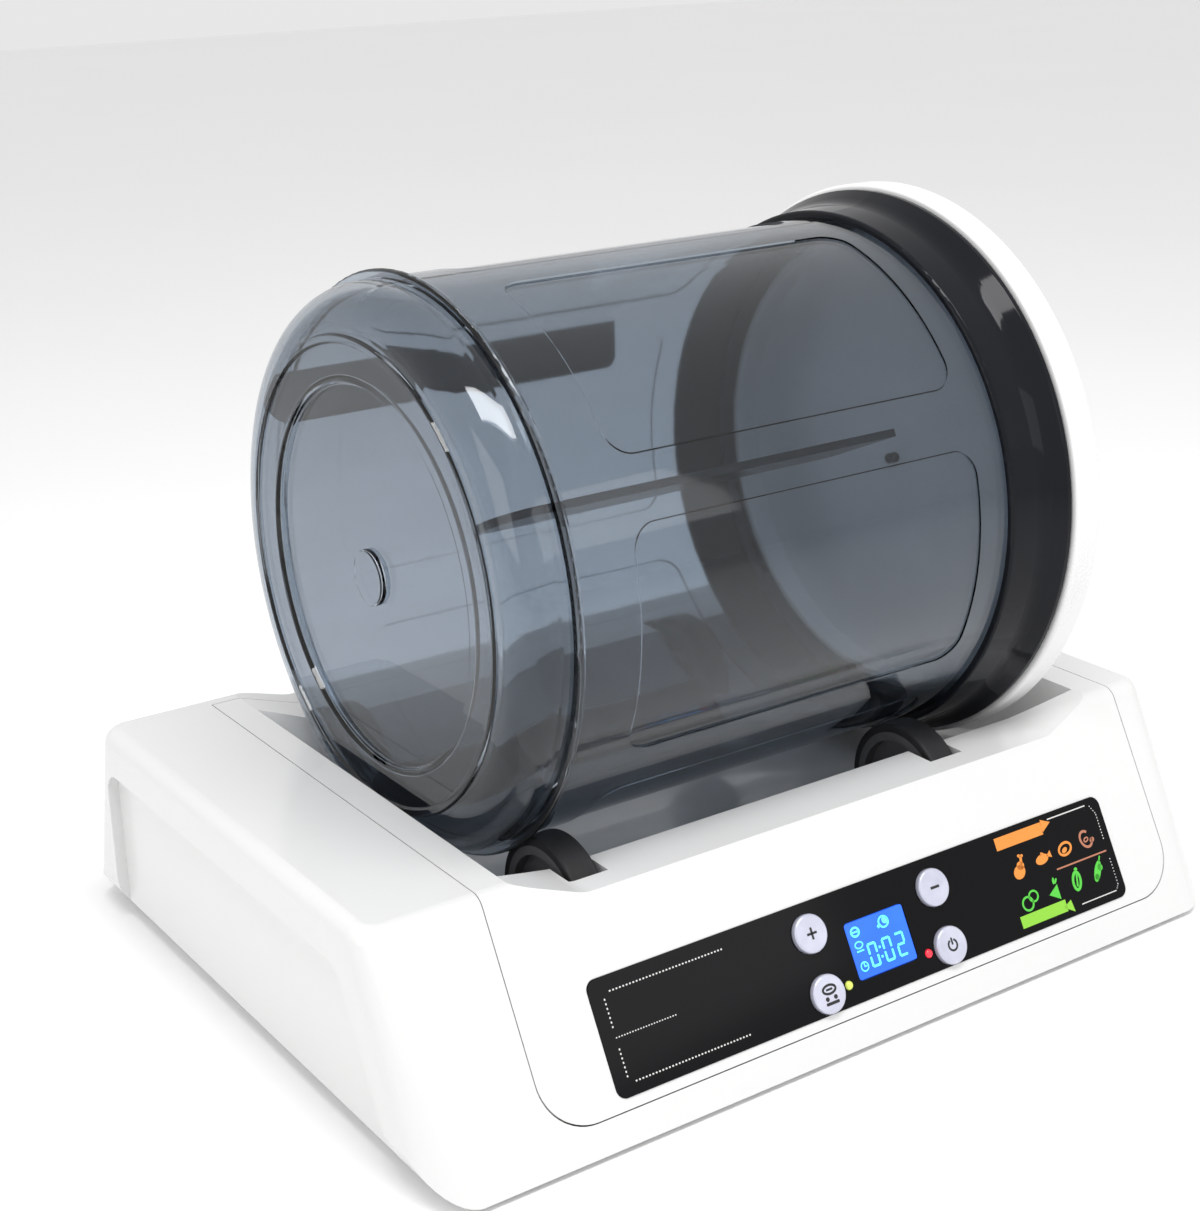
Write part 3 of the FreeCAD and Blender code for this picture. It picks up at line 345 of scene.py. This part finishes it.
def disc(u, v, width, height, turn=0.0, sides=28, rim=0.0, gap=None):
    """A printed oval; with a rim it is only its outline, and a gap leaves the top of it open."""
    bpy.ops.object.select_all(action="DESELECT")
    bpy.ops.mesh.primitive_circle_add(vertices=sides, radius=0.0005, fill_type="NGON")
    shape = bpy.context.object
    shape.scale = (width, height, 1)
    bpy.ops.object.transform_apply()
    if rim:
        in_edit(lambda: bpy.ops.mesh.inset(thickness=rim / 1000), lambda: bpy.ops.mesh.delete(type="FACE"))
    if gap:
        bpy.ops.object.mode_set(mode="EDIT")
        bpy.ops.mesh.select_all(action="DESELECT")
        bpy.ops.object.mode_set(mode="OBJECT")
        for face in shape.data.polygons:
            face.select = face.center.y > 0 and abs(face.center.x) < gap / 2000
        bpy.ops.object.mode_set(mode="EDIT")
        bpy.ops.mesh.delete(type="FACE")
        bpy.ops.object.mode_set(mode="OBJECT")
    in_edit(raise_print)
    return settle(shape, u, v, turn)


def settle(shape, u, v, turn):
    shape.location = (u / 1000, v / 1000, 0)
    shape.rotation_euler = (0, 0, math.radians(turn))
    bpy.ops.object.transform_apply()
    return shape


def printed(name, finish, body, lift, *shapes, u=0.0, v=0.0):
    """Joins the shapes into one print, lays it on the panel and rides it on its body."""
    only(*shapes)
    if len(shapes) > 1:
        bpy.ops.object.join()
    mark = bpy.context.object
    mark.name = name
    spot = panel_middle + Vector((u, v * math.cos(TILT), v * math.sin(TILT))) / 1000 + panel_normal * lift
    mark.matrix_world = Matrix.Translation(spot) @ Matrix.Rotation(TILT, 4, "X")
    bpy.ops.object.transform_apply()
    mark.data.materials.clear()
    mark.data.materials.append(finish.material)
    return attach(mark, body)


def dotted(u0, v0, u1, v1, step=1.25, size=0.62):
    """A row of dots from one point to another: one dot and an array of copies."""
    length = math.hypot(u1 - u0, v1 - v0)
    count = int(length / step) + 1
    turn = math.degrees(math.atan2(v1 - v0, u1 - u0))
    first = bar(0, 0, size, size * 0.8, corner=0.15)
    repeat = first.modifiers.new("row", "ARRAY")
    repeat.count = count
    repeat.use_relative_offset = False
    repeat.use_constant_offset = True
    repeat.constant_offset_displace = (length / (count - 1) / 1000, 0, 0)
    bpy.ops.object.modifier_apply(modifier="row")
    return settle(first, u0, v0, turn)


def ink(name, colour, glow=0.0):
    finish = Finish(name, Specular_IOR_Level=0.4, Emission_Strength=glow)
    speck = finish.noise(2600.0, 2.0)
    wash = finish.noise(180.0, 2.0)
    body = finish.blend(speck * 0.6 + wash * 0.4, tuple(c * 0.82 for c in colour), colour)
    finish.set(Base_Color=body, Roughness=0.28 + speck * 0.14)
    if glow:
        finish.set(Emission_Color=body)
    finish.bump(speck, 0.1, 0.00005)
    return finish


white_ink = ink("white_ink", (0.72, 0.72, 0.70))
printed("frame_dots_left", white_ink, "base", 0.00002,
        dotted(-104, 13.6, -61, 13.6), dotted(-106.6, 11.6, -106.6, 3.0), dotted(-106.6, -4.0, -106.6, -12.4),
        dotted(-104, -14.6, -60, -14.6), dotted(-106.4, -0.4, -84, -0.4, 1.0, 0.5))
printed("frame_dots_right", white_ink, "base", 0.00002,
        bar(95.0, 16.4, 19.0, 0.42), dotted(106.6, 15.6, 108.2, 12.8, 0.9, 0.45), dotted(108.4, 12.0, 108.4, 3.2, 1.1, 0.5),
        dotted(108.4, -4.4, 108.4, -13.6, 1.1, 0.45), bar(98.0, -15.7, 17.5, 0.36), dotted(107.4, -15.0, 108.4, -13.8, 0.7, 0.4))

orange_ink = ink("orange_ink", (0.86, 0.30, 0.05))
green_ink = ink("green_ink", (0.10, 0.62, 0.06))
lime_ink = ink("lime_ink", (0.28, 0.66, 0.05))
brown_ink = ink("brown_ink", (0.50, 0.20, 0.12))
printed("banner_orange", orange_ink, "base", 0.00002,
        bar(70.6, 14.2, 22.5, 4.4), disc(83.4, 15.0, 6.4, 5.0, 30, 3))
printed("banner_green", lime_ink, "base", 0.00002,
        bar(71.2, -14.0, 22.0, 4.2), disc(83.6, -14.8, 6.2, 4.8, -30, 3))
printed("divider", brown_ink, "base", 0.00002, bar(95.4, -1.2, 25.0, 0.55))
printed("icon_drumstick", orange_ink, "base", 0.00002,
        disc(66.2, 2.6, 5.6, 4.6, 25), disc(67.4, 4.6, 3.4, 3.0), bar(68.3, 6.2, 1.1, 3.4, -14, 0.3), disc(67.9, 8.0, 1.3, 1.1),
        disc(69.2, 7.7, 1.3, 1.1))
printed("icon_fish", orange_ink, "base", 0.00002,
        disc(77.8, 4.0, 6.2, 3.4, 8), disc(81.6, 4.7, 3.0, 3.2, 98, 3), disc(78.2, 5.8, 2.4, 1.4, 20, 3))
printed("icon_steak", orange_ink, "base", 0.00002,
        disc(89.4, 4.6, 7.0, 5.0, 12, rim=0.9), disc(89.0, 4.2, 2.8, 1.7, 25))
printed("icon_prawn", brown_ink, "base", 0.00002,
        disc(100.2, 5.2, 7.0, 5.8, -60, rim=0.9, gap=3.2), disc(102.9, 4.2, 2.4, 1.8, 30), disc(100.2, 5.0, 2.6, 1.8, 20, rim=0.5))
printed("icon_tomatoes", green_ink, "base", 0.00002,
        disc(65.6, -8.6, 5.6, 5.4, rim=0.75), disc(68.9, -6.8, 4.8, 4.4, rim=0.7))
printed("icon_carrot", green_ink, "base", 0.00002,
        disc(79.2, -8.6, 6.2, 6.4, 90, 3), disc(79.6, -4.4, 1.0, 2.4, -14), disc(80.6, -4.7, 0.9, 2.2, -40))
printed("icon_pepper", green_ink, "base", 0.00002,
        disc(90.2, -7.4, 4.6, 7.4, -14, rim=1.1), bar(90.4, -7.2, 0.8, 4.6, -14, 0.3), disc(91.2, -3.4, 1.6, 1.2))
printed("icon_pod", green_ink, "base", 0.00002,
        disc(101.0, -6.9, 3.0, 8.0, -32), disc(102.6, -5.9, 2.4, 2.4), disc(100.0, -8.8, 2.2, 2.2), bar(103.4, -3.0, 0.6, 2.2, -32, 0.2))


# The display is a backlit blue module behind its own window. Pale cyan bars show the minutes, with small
# pictures of the drum, the food and a clock round them.
def display_blue():
    finish = Finish("display_blue", Specular_IOR_Level=0.5, Emission_Strength=0.9)
    drift = finish.noise(70.0, 2.0)
    glow = finish.blend(drift, (0.010, 0.075, 0.50), (0.020, 0.125, 0.72))
    finish.set(Base_Color=glow, Emission_Color=glow, Roughness=0.10 + drift * 0.08)
    finish.bump(finish.noise(1500.0, 2.0), 0.02, 0.0001)
    return finish


dress(display_blue(), "lcd_display")
cyan_bars = ink("cyan_bars", (0.10, 0.62, 0.92), 1.3)
LCD_V = -2.4
LCD_TOP = -0.00018


def digit(u, v, lit, width=3.9, height=8.2, thick=0.8):
    half, arm = height / 4, (height - thick) / 2
    parts = {"a": (0, arm, 0), "g": (0, 0, 0), "d": (0, -arm, 0), "b": (width / 2 - thick / 2, half, 90),
             "c": (width / 2 - thick / 2, -half, 90), "f": (-width / 2 + thick / 2, half, 90), "e": (-width / 2 + thick / 2, -half, 90)}
    out = []
    for name in lit:
        x, y, turn = parts[name]
        long = (width if turn == 0 else height / 2) - thick * 0.9
        out.append(bar(u + x, v + y, long, thick, turn, thick * 0.4))
    return out


printed("display_time", cyan_bars, "base", LCD_TOP,
        *digit(-4.2, -3.0, "abcdef"), bar(-1.1, -1.4, 0.8, 0.8), bar(-1.1, -4.6, 0.8, 0.8),
        *digit(2.1, -3.0, "abcdef"), *digit(7.8, -3.0, "abged"), v=LCD_V)
printed("display_symbols", cyan_bars, "base", LCD_TOP,
        disc(-9.0, 6.0, 4.0, 3.6, rim=0.7), bar(-9.0, 6.0, 2.2, 0.6), disc(-9.0, 1.6, 3.6, 2.6, rim=0.45), bar(-9.0, -0.4, 3.0, 0.5),
        disc(-9.2, -5.6, 3.4, 3.4, rim=0.4), bar(-9.2, -5.0, 0.4, 1.4), bar(-8.7, -5.6, 1.2, 0.4),
        disc(3.4, 6.0, 4.6, 4.2, rim=0.6), disc(4.2, 6.4, 2.6, 2.4), bar(1.2, 5.2, 1.6, 1.0, 30), v=LCD_V)


# Two lamps beside the lower keys: a red one for power and a pale green one for the vacuum.
def lamp(name, colour, glow):
    finish = Finish(name, Emission_Strength=glow, IOR=1.5, Coat_Weight=0.5)
    core = finish.noise(700.0, 2.0)
    body = finish.blend(core, tuple(c * 0.6 for c in colour), colour)
    finish.set(Base_Color=body, Emission_Color=body, Roughness=0.16 + core * 0.12)
    finish.bump(core, 0.1, 0.0001)
    return finish


dress(lamp("lamp_red", (0.85, 0.02, 0.04), 0.9), "led_red")
dress(lamp("lamp_green", (0.62, 0.72, 0.12), 0.45), "led_green")


# Four round keys, moulded in pale grey with a satin metallic coat and printed in black. Each rides on its
# own spring and dips a millimetre.
def key_silver():
    finish = Finish("key_silver", Metallic=0.25, Coat_Roughness=0.1)
    sweep, fleck = finish.noise(120.0, 2.0), finish.noise(3200.0, 2.0)
    finish.set(Base_Color=finish.blend(sweep * 0.7 + fleck * 0.3, (0.40, 0.41, 0.52), (0.72, 0.73, 0.84)))
    finish.set(Roughness=0.26 + fleck * 0.12, Coat_Weight=0.3 + sweep * 0.3)
    finish.bump(fleck, 0.08, 0.00005)
    return finish


dress(key_silver(), "button_plus", "button_minus", "button_mode", "button_power")
black_ink = ink("black_ink", (0.02, 0.02, 0.022))
KEY_TOP = 0.00182
printed("mark_plus", black_ink, "plus", KEY_TOP, bar(0, 0, 4.0, 0.8), bar(0, 0, 0.8, 4.0), u=-27.0, v=8.4)
printed("mark_minus", black_ink, "minus", KEY_TOP, bar(0, 0, 3.8, 0.9), u=27.0, v=8.4)
printed("mark_power", black_ink, "power", KEY_TOP, disc(0, 0, 4.4, 4.4, rim=0.7, gap=1.8), bar(0, 1.3, 0.7, 2.4), u=27.0, v=-11.8)
printed("mark_mode", black_ink, "mode", KEY_TOP,
        disc(0, 1.5, 6.0, 3.6, rim=0.8), bar(0, 1.5, 2.6, 0.7), disc(-1.7, -1.4, 1.5, 1.5), disc(1.7, -1.4, 1.5, 1.5),
        bar(0, -3.0, 5.4, 1.0, 0, 0.3), u=-27.0, v=-11.8)


# A pale table, soft studio light from overhead and the left, and the camera in front of the left end.
bpy.ops.object.select_all(action="DESELECT")
bpy.ops.mesh.primitive_plane_add(size=8.0, location=(0, 0, 0))
table = bpy.context.object
table.name = "table"
pale = Finish("table_pale", Roughness=0.6)
pale.set(Base_Color=pale.blend(pale.noise(3.0, 3.0), (0.93, 0.93, 0.93), (0.96, 0.96, 0.96)))
table.data.materials.append(pale.material)

world = bpy.data.worlds.new("studio")
bpy.context.scene.world = world
world.use_nodes = True
world.node_tree.nodes["Background"].inputs["Color"].default_value = (1.0, 1.0, 1.0, 1.0)
world.node_tree.nodes["Background"].inputs["Strength"].default_value = 0.80


def softbox(name, place, aim, width, height, power):
    data = bpy.data.lights.new(name, "AREA")
    data.shape, data.size, data.size_y, data.energy = "RECTANGLE", width, height, power
    box = bpy.data.objects.new(name, data)
    bpy.context.collection.objects.link(box)
    box.location = place
    box.rotation_euler = (Vector(aim) - Vector(place)).to_track_quat("-Z", "Y").to_euler()


softbox("overhead", (-0.10, -0.35, 1.10), (0, 0, 0.15), 0.9, 0.25, 8.0)
softbox("left_fill", (-1.3, -0.5, 0.7), (0, 0, 0.12), 0.8, 0.8, 2.5)
softbox("front_fill", (0.5, -1.5, 0.8), (0, 0, 0.1), 1.0, 0.6, 2.0)

camera_data = bpy.data.cameras.new("camera")
camera_data.sensor_width = 36.0
camera_data.lens = 61.99
camera_data.clip_end = 20.0
camera = bpy.data.objects.new("camera", camera_data)
bpy.context.collection.objects.link(camera)
azimuth, elevation, roll = math.radians(-34.26), math.radians(19.72), math.radians(-1.20)
forward = Vector((-math.sin(azimuth) * math.cos(elevation), math.cos(azimuth) * math.cos(elevation), -math.sin(elevation)))
right = Vector((math.cos(azimuth), math.sin(azimuth), 0))
up = right.cross(forward)
across = right * math.cos(roll) + up * math.sin(roll)
rise = up * math.cos(roll) - right * math.sin(roll)
turn = Matrix((across, rise, -forward)).transposed()
camera.matrix_world = Matrix.Translation((-0.4064, -0.5715, 0.3681)) @ turn.to_4x4()
bpy.context.scene.camera = camera
bpy.context.scene.view_settings.view_transform = "Standard"
